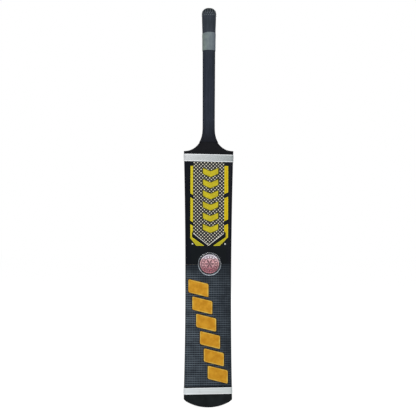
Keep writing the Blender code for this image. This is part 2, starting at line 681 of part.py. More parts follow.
def make_slants(parent, looks, parts):
    """Slanted bars in a row across the lower sheet, from its upper left to its lower right."""
    top = SHEET_JOIN_HEIGHT - SLANT_TOP_DROP
    foot = TOE_TAPE_TOP + SLANT_FOOT_RISE
    steps = round((top - foot) / SLANT_PITCH)
    side, up, lean = SLANT_WIDTH / 2, SLANT_HEIGHT / 2, SLANT_LEAN / 2
    for number in range(steps + 1):
        share = number / steps
        x = SLANT_SWING * (2 * share - 1)
        z = top + (foot - top) * share
        outline = ((x - side, z - up + lean), (x + side, z - up - lean),
                   (x + side, z + up - lean), (x - side, z + up + lean))
        decal(f"slanted_bar_{number + 1}", outline, looks["gold"], parent, parts)


def turned(name, profile, layer, look, parent, parts):
    """A disc turned about the badge's axis, from a profile that runs down from the axis to the axis again."""
    points = [(radius, 0, height) for radius, height in profile]
    mesh = bpy.data.meshes.new(name)
    mesh.from_pydata(points, [(i, i + 1) for i in range(len(points) - 1)], [])
    made = piece(name, mesh, parent, look, parts)
    made.rotation_euler.x = math.pi / 2
    made.location = BADGE_CENTRE
    made.location.y = -(FACE_OFFSET + layer)
    spin = made.modifiers.new("turn", "SCREW")
    spin.steps = spin.render_steps = ROUND_STEPS
    spin.use_merge_vertices = True
    spin.merge_threshold = MERGE
    return made


def make_badge(parent, looks, parts):
    """A base disc, a smaller printed disc and a clear dome over both."""
    edge, disc = BADGE_DIAMETER / 2, PRINT_DIAMETER / 2
    layer = DECAL_INNER
    base = ((0, BADGE_WALL), (edge, BADGE_WALL), (edge, 0), (0, 0))
    turned("badge_base", base, layer, looks["film"], parent, parts)
    layer += BADGE_WALL + GAP
    printed = ((0, PRINT_WALL), (disc, PRINT_WALL), (disc, 0), (0, 0))
    turned("badge_print", printed, layer, looks["print"], parent, parts)
    layer += PRINT_WALL + GAP
    crown = []
    for i in range(DOME_RINGS + 1):
        share = math.sin(math.pi / 2 * i / DOME_RINGS)
        crown.append((edge * share, DOME_EDGE + (DOME_HEIGHT - DOME_EDGE) * (1 - share**2) ** 0.5))
    turned("badge_dome", crown + [(edge, 0), (0, 0)], layer, looks["resin"], parent, parts)


def make_looks():
    return {
        "willow": material("willow", (0.66, 0.47, 0.27), 0.5),
        "cane": material("cane", (0.62, 0.42, 0.20), 0.55),
        "rubber": material("strip_rubber", (0.03, 0.03, 0.03), 0.8),
        "twine": material("binding_twine", (0.60, 0.52, 0.38), 0.9),
        "grip": material("grip_rubber", (0.030, 0.036, 0.045), 0.75),
        "grey": material("grey_band", (0.16, 0.19, 0.20), 0.6),
        "wrap": material("shoulder_film", (0.010, 0.010, 0.013), 0.35),
        "film": material("black_film", (0.008, 0.010, 0.012), 0.25),
        "mesh": material("woven_film", (0.050, 0.062, 0.075), 0.45),
        "toe": material("toe_rubber", (0.010, 0.012, 0.014), 0.4),
        "tape": material("white_tape", (0.62, 0.63, 0.64), 0.5),
        "checks": material("checked_print", (0.20, 0.20, 0.22), 0.35),
        "yellow": material("yellow_vinyl", (0.58, 0.48, 0.02), 0.35),
        "white": material("white_vinyl", (0.80, 0.80, 0.80), 0.4),
        "gold": material("golden_vinyl", (0.60, 0.33, 0.04), 0.35),
        "print": material("badge_print", (0.35, 0.12, 0.13), 0.4),
        "resin": material("clear_resin", (0.9, 0.9, 0.9), 0.05, alpha=0.25),
    }


def main():
    clear_scene()
    parts = collection(OBJECT_NAME)
    helpers = collection("cutters")
    parent = bpy.data.objects.new(OBJECT_NAME + "_axis", None)
    parts.objects.link(parent)
    parent.location.y = AXIS_Y
    looks = make_looks()
    stations = wood_stations()
    rings = toe_rings(stations, 0.0) + [ring(station) for station in stations]
    wood = hidden(piece("wood_form", lofted("wood_form", rings, capped=True), parent, None, helpers))
    make_blade(wood, parent, looks, parts, helpers)
    make_handle(wood, parent, looks, parts, helpers)
    make_binding(stations, parent, looks, parts)
    make_grip(stations, parent, looks, parts)
    make_grip_band(stations, parent, looks, parts)
    make_coverings(stations, parent, looks, parts)
    make_tape("top_tape", TOP_TAPE_FOOT, TOP_TAPE_HEIGHT, TOP_TAPE_TILT, stations, parent, looks, parts)
    make_tape("toe_tape", TOE_TAPE_FOOT, TOE_TAPE_HEIGHT, TOE_TAPE_TILT, stations, parent, looks, parts)
    make_panel(parent, looks, parts)
    make_bars("left", LEFT_BARS_OUTER, LEFT_BAR_WIDTH, LEFT_BAR_BREAKS, LEFT_FOOT_NECK, LEFT_FOOT_REACH,
              LEFT_FOOT_LENGTH, LEFT_FOOT_KNEE_RISE, parent, looks, parts)
    make_bars("right", RIGHT_BARS_OUTER, RIGHT_BAR_WIDTH, RIGHT_BAR_BREAKS, RIGHT_FOOT_NECK, RIGHT_FOOT_REACH,
              RIGHT_FOOT_LENGTH, RIGHT_FOOT_KNEE_RISE, parent, looks, parts)
    make_chevrons(parent, looks, parts)
    make_dots(parent, looks, parts)
    make_slants(parent, looks, parts)
    make_badge(parent, looks, parts)


main()
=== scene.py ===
# Tape ball cricket bat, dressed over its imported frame.
# Metres. Z runs up from the toe, X across the blade, and the striking face looks along -Y.

import math

import bmesh
import bpy
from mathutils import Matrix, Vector


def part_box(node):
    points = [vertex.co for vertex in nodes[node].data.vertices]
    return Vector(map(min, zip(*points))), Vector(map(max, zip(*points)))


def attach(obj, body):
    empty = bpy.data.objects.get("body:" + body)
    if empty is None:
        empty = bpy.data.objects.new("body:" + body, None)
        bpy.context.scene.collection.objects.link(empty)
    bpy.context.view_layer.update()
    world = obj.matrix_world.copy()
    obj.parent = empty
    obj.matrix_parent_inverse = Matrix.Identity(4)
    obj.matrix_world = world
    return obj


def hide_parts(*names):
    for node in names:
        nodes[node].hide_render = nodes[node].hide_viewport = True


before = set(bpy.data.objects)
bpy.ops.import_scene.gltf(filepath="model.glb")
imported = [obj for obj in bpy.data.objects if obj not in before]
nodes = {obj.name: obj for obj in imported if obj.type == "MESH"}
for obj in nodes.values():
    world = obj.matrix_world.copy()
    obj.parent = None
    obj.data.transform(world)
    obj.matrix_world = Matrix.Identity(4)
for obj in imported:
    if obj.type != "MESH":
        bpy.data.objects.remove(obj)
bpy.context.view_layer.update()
print("frame loaded:", len(nodes), "nodes")


# Camera, floor and light

camera = {
    "pictureWidth": 416,  # pixels, and the picture is square
    "pixelSize": 0.002200,  # what one pixel covers on the striking face
    "floorRow": 407.7,  # the row where the toe meets the floor
    "middleColumn": 208.45,  # the bat's middle, half way up the picture
    "distance": 2.0,  # from the lens to the badge's base, so about to the striking face
    "sensor": 36.0,
    "roll": -0.17,  # degrees, the bat leans a little to the right
}
studio = {
    "floorSize": 12.0,
    "floorColour": "#ececec",
    "floorGlow": 0.80,  # share of plain white in what the camera sees of the floor, so a soft shadow stays
    "floorLift": 1.17,  # brings the open floor up to plain white beside its shadow
    "skyStrength": 0.36,
    "lamps": {  # place, size and power of each
        "keyLamp": ((-0.9, -2.6, 1.5), 1.2, 36.0),
        "fillLamp": ((0.9, -2.6, 0.9), 1.4, 22.0),
        "backLamp": ((0.5, 2.6, 1.4), 1.4, 40.0),
    },
    "aim": (0.0, 0.0, 0.44),  # the lamps look at the middle of the bat
}
plainWhite = "#ffffff"


def linear(hexColour):
    # an sRGB hex colour as the linear one that a shader takes
    parts = [int(hexColour[i:i + 2], 16) / 255 for i in (1, 3, 5)]
    return [c / 12.92 if c <= 0.04045 else ((c + 0.055) / 1.055) ** 2.4 for c in parts] + [1.0]


def feed(tree, socket, item):
    # sets an input from a number, a hex colour, or the node or output that feeds it
    if isinstance(item, bpy.types.Node):
        item = next(output for output in item.outputs if output.enabled)
    if isinstance(item, bpy.types.NodeSocket):
        tree.links.new(item, socket)
    else:
        socket.default_value = linear(item) if isinstance(item, str) else item


def addNode(tree, kind, *items, stops=(), **settings):
    # one shader node with its settings, its colour stops, and what feeds its inputs, in their order
    made = tree.nodes.new("ShaderNode" + kind)
    for key, value in settings.items():
        setattr(made, key, value)
    for number, (spot, colour) in enumerate(stops):
        elements = made.color_ramp.elements
        stop = elements[number] if number < len(elements) else elements.new(1.0)
        stop.position = spot
        stop.color = linear(colour)
    for socket, item in zip([socket for socket in made.inputs if socket.enabled], items):
        if item is not None:
            feed(tree, socket, item)
    return made


def makeCamera():
    bpy.ops.object.camera_add()
    made = bpy.context.object
    made.name = "photoCamera"
    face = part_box("badge_base")[0].y
    middle = camera["pictureWidth"] / 2
    made.location = (
        (middle - camera["middleColumn"]) * camera["pixelSize"],
        face - camera["distance"],
        (camera["floorRow"] - middle) * camera["pixelSize"],
    )
    made.rotation_euler = (math.pi / 2, math.radians(camera["roll"]), 0)
    made.data.sensor_width = camera["sensor"]
    field = camera["pictureWidth"] * camera["pixelSize"]
    made.data.lens = camera["sensor"] * camera["distance"] / field
    bpy.context.scene.camera = made


def seenDirectly(tree):
    # 1 for rays that carry the background to the eye: straight, mirrored or through clear resin
    rays = addNode(tree, "LightPath").outputs
    mirrored = addNode(tree, "Math", rays["Is Camera Ray"], rays["Is Glossy Ray"], operation="MAXIMUM")
    return addNode(tree, "Math", mirrored, rays["Is Transmission Ray"], operation="MAXIMUM")


def makeFloor():
    bpy.ops.mesh.primitive_plane_add(size=studio["floorSize"])
    floor = bpy.context.object
    floor.name = "floor"
    look = bpy.data.materials.new("mattWhiteBoard")
    look.use_nodes = True
    tree = look.node_tree
    tree.nodes.clear()
    matt = addNode(tree, "BsdfDiffuse", studio["floorColour"])
    glow = addNode(tree, "Emission", plainWhite, studio["floorLift"])
    share = addNode(tree, "Math", seenDirectly(tree), studio["floorGlow"], operation="MULTIPLY")
    addNode(tree, "OutputMaterial", addNode(tree, "MixShader", share, matt, glow))
    floor.data.materials.append(look)


def makeSky():
    world = bpy.data.worlds.new("studio")
    bpy.context.scene.world = world
    world.use_nodes = True
    tree = world.node_tree
    tree.nodes.clear()
    dim = addNode(tree, "Background", plainWhite, studio["skyStrength"])
    white = addNode(tree, "Background", plainWhite, 1.0)
    addNode(tree, "OutputWorld", addNode(tree, "MixShader", seenDirectly(tree), dim, white))


def makeLamp(name, spot, size, power):
    bpy.ops.object.light_add(type="AREA", location=spot)
    lamp = bpy.context.object
    lamp.name = name
    lamp.data.size = size
    lamp.data.energy = power
    lamp.rotation_euler = (Vector(studio["aim"]) - lamp.location).to_track_quat("-Z", "Y").to_euler()


bpy.context.scene.view_settings.view_transform = "Standard"
makeCamera()
makeFloor()
makeSky()
for lampName, placeSizePower in studio["lamps"].items():
    makeLamp(lampName, *placeSizePower)
print("camera, floor and light ready")


# Material tools

def newMaterial(name):
    look = bpy.data.materials.new(name)
    look.use_nodes = True
    tree = look.node_tree
    return look, tree, tree.nodes["Principled BSDF"]


def finishMaterial(tree, shader, colour, height, depth, roughness, specular):
    # the colour, the relief, whose depth is in metres, and single values on the shader's own sockets
    relief = addNode(tree, "Bump")
    feed(tree, relief.inputs["Distance"], depth)
    feed(tree, relief.inputs["Height"], height)
    feed(tree, shader.inputs["Normal"], relief)
    feed(tree, shader.inputs["Base Color"], colour)
    feed(tree, shader.inputs["Roughness"], roughness)
    feed(tree, shader.inputs["Specular IOR Level"], specular)


def place(tree, across, along=None):
    # the place on the bat, counted in a pattern's real sizes across the bat and along it
    coords = addNode(tree, "TexCoord").outputs["Object"]
    return addNode(tree, "Mapping", coords, None, None, (1 / across, 1 / across, 1 / (along or across)))


def axes(tree, letters):
    # the place on the bat in metres, as separate numbers, one for each letter
    parts = addNode(tree, "SeparateXYZ", addNode(tree, "TexCoord").outputs["Object"]).outputs
    return [parts[letter] for letter in letters]


def distance(tree, first, second):
    # how far it is to a point, from two parts at right angles
    squares = [addNode(tree, "Math", part, part, operation="MULTIPLY") for part in (first, second)]
    return addNode(tree, "Math", addNode(tree, "Math", *squares, operation="ADD"), operation="SQRT")


def waves(tree, value, pace, shape="SINE"):
    # a wave along a value, which turns by this many radians for each unit of it
    return addNode(tree, "Math", addNode(tree, "Math", value, pace, operation="MULTIPLY"), operation=shape)


def angleRound(tree, x, y, middle):
    # the angle round the handle's axis, in radians
    across = addNode(tree, "Math", x, middle.x, operation="SUBTRACT")
    deep = addNode(tree, "Math", y, middle.y, operation="SUBTRACT")
    return addNode(tree, "Math", deep, across, operation="ARCTAN2")


print("material tools ready")


# Shaping tools

weld = 0.00001  # points nearer than this are one point
quadFlatness = math.radians(40)  # two triangles that bend less than this become one face
quadShape = math.radians(120)  # and its corners may be this far from square


def openPiece(piece, kind="FACE"):
    # a piece in edit mode, with nothing selected
    bpy.ops.object.select_all(action="DESELECT")
    piece.select_set(True)
    bpy.context.view_layer.objects.active = piece
    bpy.ops.object.mode_set(mode="EDIT")
    bpy.ops.mesh.select_mode(type=kind)
    bpy.ops.mesh.select_all(action="DESELECT")


def closePiece():
    bpy.ops.object.mode_set(mode="OBJECT")


def pick(piece, kind, test):
    # selects the faces, edges or verts that pass a test, and no others
    mesh = bmesh.from_edit_mesh(piece.data)
    bpy.ops.mesh.select_mode(type={"faces": "FACE", "edges": "EDGE", "verts": "VERT"}[kind])
    for part in getattr(mesh, kind):
        part.select_set(test(part))
    mesh.select_flush_mode()
    bmesh.update_edit_mesh(piece.data)


def applyModifier(piece, kind, **settings):
    bpy.context.view_layer.objects.active = piece
    step = piece.modifiers.new(kind.lower(), kind)
    for key, value in settings.items():
        setattr(step, key, value)
    bpy.ops.object.modifier_apply(modifier=step.name)


def copyNode(name, nodeName):
    # a CAD node's mesh as a piece of its own: merged, and in four-sided faces again
    piece = bpy.data.objects.new(name, nodes[nodeName].data.copy())
    bpy.context.scene.collection.objects.link(piece)
    piece.data.materials.clear()
    openPiece(piece)
    bpy.ops.mesh.customdata_custom_splitnormals_clear()
    bpy.ops.mesh.select_all(action="SELECT")
    bpy.ops.mesh.remove_doubles(threshold=weld)
    bpy.ops.mesh.tris_convert_to_quads(face_threshold=quadFlatness, shape_threshold=quadShape)
    closePiece()
    return piece


def smoothCopy(name, nodeName, levels, sharp=60):
    # the same, rounded between the edges that are sharper than this
    piece = copyNode(name, nodeName)
    openPiece(piece, "EDGE")
    bpy.ops.mesh.edges_select_sharp(sharpness=math.radians(sharp))
    bpy.ops.transform.edge_crease(value=1.0)
    closePiece()
    applyModifier(piece, "SUBSURF", levels=levels, render_levels=levels)
    return piece


def copyPiece(first, name, shift):
    # another of the same piece, with a mesh of its own, moved in its mesh
    piece = bpy.data.objects.new(name, first.data.copy())
    bpy.context.scene.collection.objects.link(piece)
    for point in piece.data.vertices:
        point.co += shift
    return piece


def dress(piece, looks, slot, *replaced, smoothUnder=35):
    # gives a piece its materials and body, and hides the nodes that it stands for; its record slot is not
    # used
    bpy.ops.object.select_all(action="DESELECT")
    piece.select_set(True)
    bpy.context.view_layer.objects.active = piece
    bpy.ops.object.shade_smooth_by_angle(angle=math.radians(smoothUnder))
    if looks:
        piece.data.materials.clear()
        for look in looks:
            piece.data.materials.append(look)
    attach(piece, "root")
    if replaced:
        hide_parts(*replaced)


print("shaping tools ready")


# Willow blade

blade = {
    "pale": "#d2b286",
    "tan": "#b98f5c",
    "line": "#8f6336",
    "ringPitch": 0.0085,  # growth rings, so the grain lines on the back
    "ringWander": 0.024,  # how far they stray
    "pith": (0.030, 0.33),  # middle of the rings, far behind the bat
    "bends": (0.111, 0.455),  # the grain's slow bends: their size across the blade and along it
    "fibre": (0.0006, 0.0455),  # coarser than the real fibres, so that they show
    "cloud": (0.0333, 0.167),
    "relief": 0.00008,
}


def sandedWillow():
    # sawn, sanded and oiled willow: straight grain that arches over the ridge, fine fibres, satin sheen
    look, tree, shader = newMaterial("sandedWillow")
    x, y = axes(tree, "XY")
    wander = addNode(tree, "TexNoise", place(tree, *blade["bends"]), 1.0, 2)
    across = addNode(tree, "Math", x, blade["pith"][0], operation="SUBTRACT")
    depth = addNode(tree, "Math", y, blade["pith"][1], operation="SUBTRACT")
    shift = addNode(tree, "Math", wander, blade["ringWander"], operation="MULTIPLY")
    radius = addNode(tree, "Math", distance(tree, across, depth), shift, operation="ADD")
    rings = addNode(tree, "Math", radius, blade["ringPitch"], operation="DIVIDE")
    ring = addNode(tree, "Math", rings, operation="FRACT")
    fibres = addNode(tree, "TexNoise", place(tree, *blade["fibre"]), 1.0, 3)
    cloud = addNode(tree, "TexNoise", place(tree, *blade["cloud"]), 1.0, 3)
    grain = addNode(tree, "ValToRGB", ring, stops=(
        (0.0, blade["pale"]), (0.62, blade["tan"]), (0.86, blade["line"]), (1.0, blade["pale"])))
    cloudShare = addNode(tree, "MapRange", cloud, 0.35, 0.7, 0.0, 0.45)
    toned = addNode(tree, "Mix", cloudShare, grain, blade["tan"], data_type="RGBA")
    fibreShare = addNode(tree, "MapRange", fibres, 0.45, 0.75, 0.0, 0.35)
    colour = addNode(tree, "Mix", fibreShare, toned, blade["line"], data_type="RGBA")
    finishMaterial(tree, shader, colour, fibres, blade["relief"], roughness=0.48, specular=0.35)
    return look


bladeWood = copyNode("bladeWood", "blade")
dress(bladeWood, [sandedWillow()], "willow", "blade")
print("blade ready")


# Cane handle

cane = {
    "straw": "#c49a5e",
    "brown": "#8d6434",
    "vessel": (0.0009, 0.0333),  # width and length, coarser than the real ones, so that they show
    "lane": (0.00667, 0.333),
    "relief": 0.00012,
    "rubber": "#1c1a19",
    "rubberBloom": "#2b2725",
    "twine": "#b9a888",
    "twineDusty": "#8f7f62",
    "twineGrooveShade": "#4f4433",
    "twinePitch": 0.0009,
    "twineDust": 0.0111,  # size of the dusty patches
    "twineRelief": 0.0003,
}


def splitCane():
    # split and shaved rattan cane: straw with dark vessels along it, each lane a little different
    look, tree, shader = newMaterial("splitCane")
    vessels = addNode(tree, "TexNoise", place(tree, *cane["vessel"]), 1.0, 2)
    lanes = addNode(tree, "TexNoise", place(tree, *cane["lane"]), 1.0, 1)
    straw = addNode(tree, "ValToRGB", lanes, stops=((0.35, cane["brown"]), (0.6, cane["straw"])))
    vesselShare = addNode(tree, "MapRange", vessels, 0.5, 0.72, 0.0, 0.7)
    colour = addNode(tree, "Mix", vesselShare, straw, cane["brown"], data_type="RGBA")
    finishMaterial(tree, shader, colour, vessels, cane["relief"], roughness=0.5, specular=0.35)
    return look


def moulded(name, colour, paler, grain, depth, roughness, specular, patch=0.0182):
    # a moulded rubber: one dull colour with faint patches of bloom and a fine grain from the mould
    look, tree, shader = newMaterial(name)
    bloom = addNode(tree, "TexNoise", place(tree, patch), 1.0, 4)
    fine = addNode(tree, "TexNoise", place(tree, grain), 1.0, 2)
    toned = addNode(tree, "ValToRGB", bloom, stops=((0.35, colour), (0.75, paler)))
    finishMaterial(tree, shader, toned, fine, depth, roughness, specular)
    return look


def waxedTwine():
    # waxed linen twine, wound close: one thread's round back for each turn, with painted shade in the
    # grooves between turns
    look, tree, shader = newMaterial("waxedTwine")
    x, y, z = axes(tree, "XYZ")
    middle = sum(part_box("handle_binding"), Vector()) / 2
    climbed = addNode(tree, "Math", z, cane["twinePitch"], operation="DIVIDE")
    turned = addNode(tree, "Math", angleRound(tree, x, y, middle), 2 * math.pi, operation="DIVIDE")
    turns = addNode(tree, "Math", climbed, turned, operation="ADD")
    thread = addNode(tree, "Math", waves(tree, turns, math.pi), operation="ABSOLUTE")
    dust = addNode(tree, "TexNoise", place(tree, cane["twineDust"]), 1.0, 3)
    dusty = addNode(tree, "Mix", dust, cane["twine"], cane["twineDusty"], data_type="RGBA")
    # painted shade darkens the grooves between the turns
    grooveShadeShare = addNode(tree, "MapRange", thread, 0.0, 0.6, 0.7, 0.0)
    colour = addNode(tree, "Mix", grooveShadeShare, dusty, cane["twineGrooveShade"], data_type="RGBA")
    finishMaterial(tree, shader, colour, thread, cane["twineRelief"], roughness=0.8, specular=0.3)
    return look


caneLook = splitCane()
stripLook = moulded("naturalRubberStrip", cane["rubber"], cane["rubberBloom"],
                    grain=0.0007, depth=0.00005, roughness=0.8, specular=0.2)
twineLook = waxedTwine()
for nodeName, node in nodes.items():
    if nodeName.startswith("cane_"):
        node.data.materials[0] = caneLook
    elif nodeName.startswith("rubber_strip"):
        node.data.materials[0] = stripLook
nodes["handle_binding"].data.materials[0] = twineLook
print("cane handle ready")


# Grip

grip = {
    "ribPitch": 0.0024,  # fine lengthwise ribs
    "ribDepth": 0.00010,
    "streak": (0.00192, 0.1),  # dull streaks: their width and length
    "patch": 0.0278,
    "grain": 0.001 / 2.4,  # 2.4 to a millimetre, left by the mould
    "body": "#3b3f48",
    "shade": "#2d3339",
    "lowBody": "#2f333e",  # below the grey band
    "lowShade": "#242a32",
    "lowFrom": 0.770,
    "lowTo": 0.830,
    "flare": "#17171b",  # painted shade: it darkens where it flares over the shoulders and turns from the light
    "flareFrom": 0.566,
    "flareTo": 0.640,
    "crown": "#23272b",
    "crownFrom": 0.864,
    "crownTo": 0.876,
    "side": "#14171b",  # painted shade at the two sides, where the round handle turns from the light
    "sideShadeShare": 0.6,
    "pipRows": (0.8655, 0.8692, 0.8727, 0.8760),  # heights of the rows of moulded pips
    "pipPitch": 0.0048,  # coarser than the photographed stipple, so that the pips show
    "pipRadius": 0.0012,
    "pipHeight": 0.0003,
    # the pips are paler than the grip's rubber, with paler patches
    "pipColour": "#5a6267",
    "pipPaler": "#697176",
    "ovalGirth": 1.12,  # the grip is deeper than it is wide, so its girth is this much over a circle's
    "rayStart": 0.1,  # how far out the rays that find its surface start
}


def towardsSides(tree, turn, share):
    # up to this share at the handle's two sides, and 0 round its front and back
    sideways = addNode(tree, "Math", turn, operation="COSINE")
    eitherSide = addNode(tree, "Math", sideways, operation="ABSOLUTE")
    return addNode(tree, "MapRange", eitherSide, 0.78, 0.97, 0.0, share)


def gripRubber():
    # moulded natural rubber: matt charcoal with a blue cast and fine ribs along it, darker at both ends,
    # with painted shade over the flare at its foot and at its two sides
    look, tree, shader = newMaterial("mouldedGripRubber")
    x, y, z = axes(tree, "XYZ")
    low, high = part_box("grip_band")
    girth = math.pi * (high.x - low.x + high.y - low.y) / 2
    turn = angleRound(tree, x, y, (low + high) / 2)
    ribs = waves(tree, turn, girth / grip["ribPitch"])
    streak = addNode(tree, "TexNoise", place(tree, *grip["streak"]), 1.0, 3)
    patch = addNode(tree, "TexNoise", place(tree, grip["patch"]), 1.0, 4)
    patchPart = addNode(tree, "Math", patch, 0.4, operation="MULTIPLY")
    tone = addNode(tree, "Math", streak, 0.6, patchPart, operation="MULTIPLY_ADD")
    upper = addNode(tree, "ValToRGB", tone, stops=((0.38, grip["shade"]), (0.62, grip["body"])))
    lower = addNode(tree, "ValToRGB", tone, stops=((0.38, grip["lowShade"]), (0.62, grip["lowBody"])))
    aboveBand = addNode(tree, "MapRange", z, grip["lowFrom"], grip["lowTo"])
    body = addNode(tree, "Mix", aboveBand, lower, upper, data_type="RGBA")
    # painted shade: darker where the grip flares over the shoulders
    aboveFlare = addNode(tree, "MapRange", z, grip["flareFrom"], grip["flareTo"],
                         interpolation_type="SMOOTHSTEP")
    flareShaded = addNode(tree, "Mix", aboveFlare, grip["flare"], body, data_type="RGBA")
    onCrown = addNode(tree, "MapRange", z, grip["crownFrom"], grip["crownTo"])
    crowned = addNode(tree, "Mix", onCrown, flareShaded, grip["crown"], data_type="RGBA")
    # painted shade darkens the grip's two sides
    shadedSides = towardsSides(tree, turn, grip["sideShadeShare"])
    colour = addNode(tree, "Mix", shadedSides, crowned, grip["side"], data_type="RGBA")
    fine = addNode(tree, "TexNoise", place(tree, grip["grain"]), 1.0, 2)
    finePart = addNode(tree, "Math", fine, 0.5, operation="MULTIPLY")
    height = addNode(tree, "Math", ribs, 0.5, finePart, operation="MULTIPLY_ADD")
    finishMaterial(tree, shader, colour, height, grip["ribDepth"], roughness=0.8, specular=0.04)
    return look


def makePips(sleeve):
    # a small dome, modelled once and set in rows round the grip's crown
    bpy.ops.mesh.primitive_uv_sphere_add(segments=10, ring_count=6, radius=grip["pipRadius"])
    first = bpy.context.object
    openPiece(first)
    pick(first, "verts", lambda point: point.co.z < -weld)
    bpy.ops.mesh.delete(type="VERT")
    bpy.ops.mesh.select_all(action="SELECT")
    bpy.ops.transform.resize(value=(1, 1, grip["pipHeight"] / grip["pipRadius"]))
    closePiece()
    low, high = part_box("grip_band")
    axis = (low + high) / 2
    bpy.context.view_layer.update()
    pips = []
    for row, level in enumerate(grip["pipRows"]):
        outside = Vector((axis.x + grip["rayStart"], axis.y, level))
        side = sleeve.ray_cast(outside, Vector((-1, 0, 0)))[1]
        girth = 2 * math.pi * (side.x - axis.x) * grip["ovalGirth"]
        count = round(girth / grip["pipPitch"])
        for number in range(count):
            turn = 2 * math.pi * (number + row % 2 / 2) / count
            inwards = -Vector((math.cos(turn), math.sin(turn), 0))
            start = Vector((axis.x, axis.y, level)) - inwards * grip["rayStart"]
            spot, normal = sleeve.ray_cast(start, inwards)[1:3]
            pip = bpy.data.objects.new("pip", first.data.copy())
            bpy.context.scene.collection.objects.link(pip)
            pip.data.transform(normal.to_track_quat("Z", "Y").to_matrix().to_4x4())
            for point in pip.data.vertices:
                point.co += spot
            pips.append(pip)
    bpy.data.objects.remove(first)
    bpy.ops.object.select_all(action="DESELECT")
    for pip in pips:
        pip.select_set(True)
    bpy.context.view_layer.objects.active = pips[0]
    bpy.ops.object.join()
    pips[0].name = "gripPips"
    return pips[0]


gripSleeve = smoothCopy("gripSleeve", "grip", 2)
dress(gripSleeve, [gripRubber()], "grip_rubber", "grip")
gripPips = makePips(gripSleeve)
pipLook = moulded("paleRubberPips", grip["pipColour"], grip["pipPaler"],
                  grain=0.0006, depth=0.00003, roughness=0.7, specular=0.1)
dress(gripPips, [pipLook], "grip_rubber")
print("grip ready")


# Grey band round the grip

band = {
    "rise": 0.0022,  # the top edge climbs from the sides to the crest of the front
    "crest": 0.25,  # where that crest lies, from -1 at the left side to 1 at the right one
    "fall": 0.72,  # how steeply it drops away from the crest
    "green": "#78857f",
    "blue": "#666e79",
    "dark": "#59616a",
    "sideShadeShare": 0.42,
    "thread": 0.0008,
    "blotch": 0.00769,
    "crease": (0.0167, 0.00385),  # length round the band, and width
    "creaseShare": 4.0,  # the creases stand this much higher than the threads
    "relief": 0.00006,
}


def brushedCottonTape():
    # brushed cotton tape: a fine weave, blotched by hands, greenish on one side and bluish on the other,
    # with painted shade at its two sides
    look, tree, shader = newMaterial("brushedCottonTape")
    x, y, z = axes(tree, "XYZ")
    low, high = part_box("grip_band")
    toTheRight = addNode(tree, "MapRange", x, low.x, high.x)
    base = addNode(tree, "Mix", toTheRight, band["green"], band["blue"], data_type="RGBA")
    blotch = addNode(tree, "TexNoise", place(tree, band["blotch"]), 1.0, 4)
    blotchShare = addNode(tree, "MapRange", blotch, 0.45, 0.75, 0.0, 0.75)
    blotched = addNode(tree, "Mix", blotchShare, base, band["dark"], data_type="RGBA")
    turn = angleRound(tree, x, y, (low + high) / 2)
    # painted shade darkens the band's two sides, in the grip's side colour
    shadedSides = towardsSides(tree, turn, band["sideShadeShare"])
    colour = addNode(tree, "Mix", shadedSides, blotched, grip["side"], data_type="RGBA")
    weft = waves(tree, z, 2 * math.pi / band["thread"])
    girth = math.pi * (high.x - low.x + high.y - low.y) / 2
    warp = waves(tree, turn, girth / band["thread"])
    creases = addNode(tree, "TexNoise", place(tree, *band["crease"]), 1.0, 2)
    threads = addNode(tree, "Math", weft, warp, operation="MULTIPLY")
    height = addNode(tree, "Math", creases, band["creaseShare"], threads, operation="MULTIPLY_ADD")
    finishMaterial(tree, shader, colour, height, band["relief"], roughness=0.85, specular=0.2)
    return look


def liftAt(across):
    # how far the band's front edge is raised, from 1 at its crest to less than 0 at the left side
    return 1 - band["fall"] * abs(across - band["crest"]) ** 3


def makeBand():
    piece = smoothCopy("gripBand", "grip_band", 3)
    low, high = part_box("grip_band")
    half, middle = (high - low) / 2, (high + low) / 2
    for point in piece.data.vertices:
        # the lift fades from the top edge down to the middle of the band
        share = max(0.0, (point.co.z - middle.z) / half.z)
        across = (point.co.x - middle.x) / half.x
        if point.co.y < middle.y:
            lift = liftAt(across)
        else:
            lift = liftAt(-1) + (liftAt(1) - liftAt(-1)) * (across + 1) / 2
        point.co.z += band["rise"] * lift * share ** 2
    return piece


gripBand = makeBand()
dress(gripBand, [brushedCottonTape()], "grey_band", "grip_band")
print("grey band ready")


# Shoulder wrap, face sheets and toe cover

film = {
    "black": "#0e1215",
    "margin": "#090c14",  # towards the edges, with a navy cast
    "marginFrom": 0.036,  # sideways from the middle
    "marginTo": 0.046,
    "haze": "#1a1e23",
    "hazeSize": 0.0217,
    "ripple": (0.025, 0.0625),  # of the wood under it: its size across and along
    "grit": 0.00111,  # orange peel left by the rollers
    "relief": 0.00025,
    "wrap": "#0b0b0f",
    "wrapHaze": "#17181c",
    "wrapHazeSize": 0.0167,
    "wrapCrease": (0.00476, 0.0333),
    "flapWander": 0.0005,  # how unevenly the flaps on the back were cut
    "flapFade": 0.004,  # width of the strip along the cut that follows it
    "joinShift": 0.00027,  # how far the lower sheet's edge comes up
    "joinSlope": 0.0018,  # height of the strip under the edge that follows it
    "toe": "#101415",
    "toePale": "#1c2123",
}
tape = {
    "topTilt": math.radians(-1.2),
    "toeTilt": math.radians(1.25),
    "edge": "#f2f5f7",
    "edgeShare": 0.14,  # part of the height, at each cut edge, that catches the light
    "topLeft": "#ccced0",
    "topRight": "#8c9394",
    "toeLeft": "#dfe5e8",
    "toeRight": "#c2c9c9",
    "thread": (0.083, 0.0009),  # how long one runs in the same tone, and its width
    "lapFrom": 0.004,  # where the band's end lies over its start, on the back
    "lapTo": 0.030,
    "lapLift": 0.00035,  # from the band's face to the lap's
    "lapWall": 0.00028,  # thinner than that, for the glue under it
    "streak": "#8e9496",
    "dirt": "#a7a9a4",
    "dirtSize": 0.0143,
    "relief": 0.0001,
}
